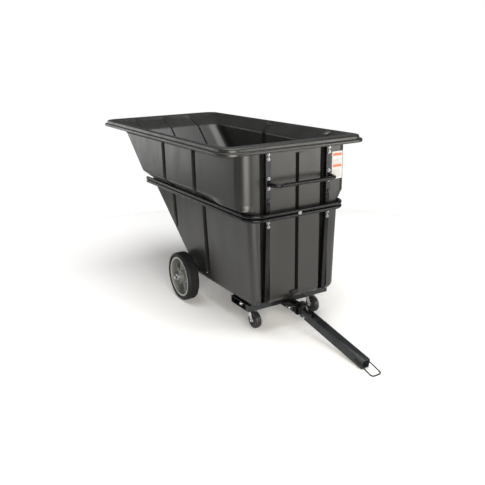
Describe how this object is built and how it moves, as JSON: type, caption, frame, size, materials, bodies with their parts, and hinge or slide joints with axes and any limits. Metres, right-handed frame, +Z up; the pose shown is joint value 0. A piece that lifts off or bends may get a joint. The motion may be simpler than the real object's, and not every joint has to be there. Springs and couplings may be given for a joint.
{
  "type": "towable tilt truck",
  "caption": "Towable plastic tilt truck with a sloping dump face, push handle, waist rails, large rear wheels, swivel casters and a hinged tow bar.",
  "frame": {"origin": "on the floor, below the centre of the overall box (tub, wheels and lowered tow bar)", "axes": "+X towards the push and tow end, +Y to the left when facing +X, +Z up"},
  "size_m": [2.8488, 1.09, 1.245],
  "materials": {
    "tub_plastic": "satin rotationally moulded black polyethylene",
    "black_steel": "semi-gloss black powder coat",
    "grey_steel": "satin dark grey powder coat",
    "zinc": "bright zinc plate",
    "tyre": "matt black solid rubber",
    "wheel_hub": "satin grey moulded nylon",
    "caster_tread": "satin dark grey polyurethane",
    "black_plug": "matt black",
    "label": "white vinyl with two orange bars, no text"
  },
  "bodies": {
    "truck": {"axle": "zinc", "axle_cotter_left": "zinc", "axle_cotter_right": "zinc", "axle_cradle_left": "black_steel", "axle_cradle_right": "black_steel", "axle_washer_left": "zinc", "axle_washer_right": "zinc", "bracket_bolt_left_1": "zinc", "bracket_bolt_left_2": "zinc", "bracket_bolt_right_1": "zinc", "bracket_bolt_right_2": "zinc", "bumper_left": "black_plug", "bumper_right": "black_plug", "caster_plate_left": "zinc", "caster_plate_right": "zinc", "draw_shank": "black_steel", "front_crossmember": "grey_steel", "handle_bolt_left_1": "zinc", "handle_bolt_left_2": "zinc", "handle_bolt_right_1": "zinc", "handle_bolt_right_2": "zinc", "handle_bracket_left": "grey_steel", "handle_bracket_right": "grey_steel", "hitch_pin": "zinc", "hitch_pin_clip": "zinc", "hitch_plate": "black_steel", "label": "label", "post_bolt_left_1": "zinc", "post_bolt_left_2": "zinc", "post_bolt_right_1": "zinc", "post_bolt_right_2": "zinc", "post_left": "black_steel", "post_right": "black_steel", "push_handle": "black_steel", "rail_centre_bolt": "zinc", "rear_crossmember": "black_steel", "receiver_collar": "black_steel", "receiver_tube": "black_steel", "side_member_left": "black_steel", "side_member_right": "black_steel", "tub": "tub_plastic", "tub_stay": "black_steel", "waist_rail_lower": "black_steel", "waist_rail_upper": "black_steel"},
    "tow_bar": {"tow_bar": "grey_steel", "tow_pin": "zinc", "tow_pin_ring": "zinc"},
    "tow_bail": {"tow_bail": "black_steel"},
    "road_wheel_left": {"wheel_rim_left": "wheel_hub", "wheel_tyre_left": "tyre"},
    "caster_swivel_left": {"caster_kingpin_left": "zinc", "caster_fork_left": "zinc", "caster_bolt_left": "zinc"},
    "caster_wheel_left": {"caster_wheel_left": "caster_tread"},
    "road_wheel_right": {"wheel_rim_right": "wheel_hub", "wheel_tyre_right": "tyre"},
    "caster_swivel_right": {"caster_kingpin_right": "zinc", "caster_fork_right": "zinc", "caster_bolt_right": "zinc"},
    "caster_wheel_right": {"caster_wheel_right": "caster_tread"}
  },
  "joints": [
    {"name": "road_wheel_spin_left", "type": "hinge", "parent": "truck", "child": "road_wheel_left", "pos_m": [-0.21545, 0.413, 0.181], "axis": [0, 1, 0], "continuous": true},
    {"name": "caster_swivel_left", "type": "hinge", "parent": "truck", "child": "caster_swivel_left", "pos_m": [0.46955, 0.242, 0.1487], "axis": [0, 0, 1], "continuous": true},
    {"name": "caster_spin_left", "type": "hinge", "parent": "caster_swivel_left", "child": "caster_wheel_left", "pos_m": [0.50855, 0.242, 0.0575], "axis": [0, 1, 0], "continuous": true},
    {"name": "road_wheel_spin_right", "type": "hinge", "parent": "truck", "child": "road_wheel_right", "pos_m": [-0.21545, -0.413, 0.181], "axis": [0, 1, 0], "continuous": true},
    {"name": "caster_swivel_right", "type": "hinge", "parent": "truck", "child": "caster_swivel_right", "pos_m": [0.46955, -0.242, 0.1487], "axis": [0, 0, 1], "continuous": true},
    {"name": "caster_spin_right", "type": "hinge", "parent": "caster_swivel_right", "child": "caster_wheel_right", "pos_m": [0.50855, -0.242, 0.0575], "axis": [0, 1, 0], "continuous": true},
    {"name": "tow_bar_pitch", "type": "hinge", "parent": "truck", "child": "tow_bar", "pos_m": [0.78655, 0, 0.128], "axis": [0, -1, 0], "range_deg": [0, 100]},
    {"name": "tow_bail_fold", "type": "hinge", "parent": "tow_bar", "child": "tow_bail", "pos_m": [1.27143, 0, 0.0445], "axis": [0, -1, 0], "range_deg": [0, 165]}
  ]
}
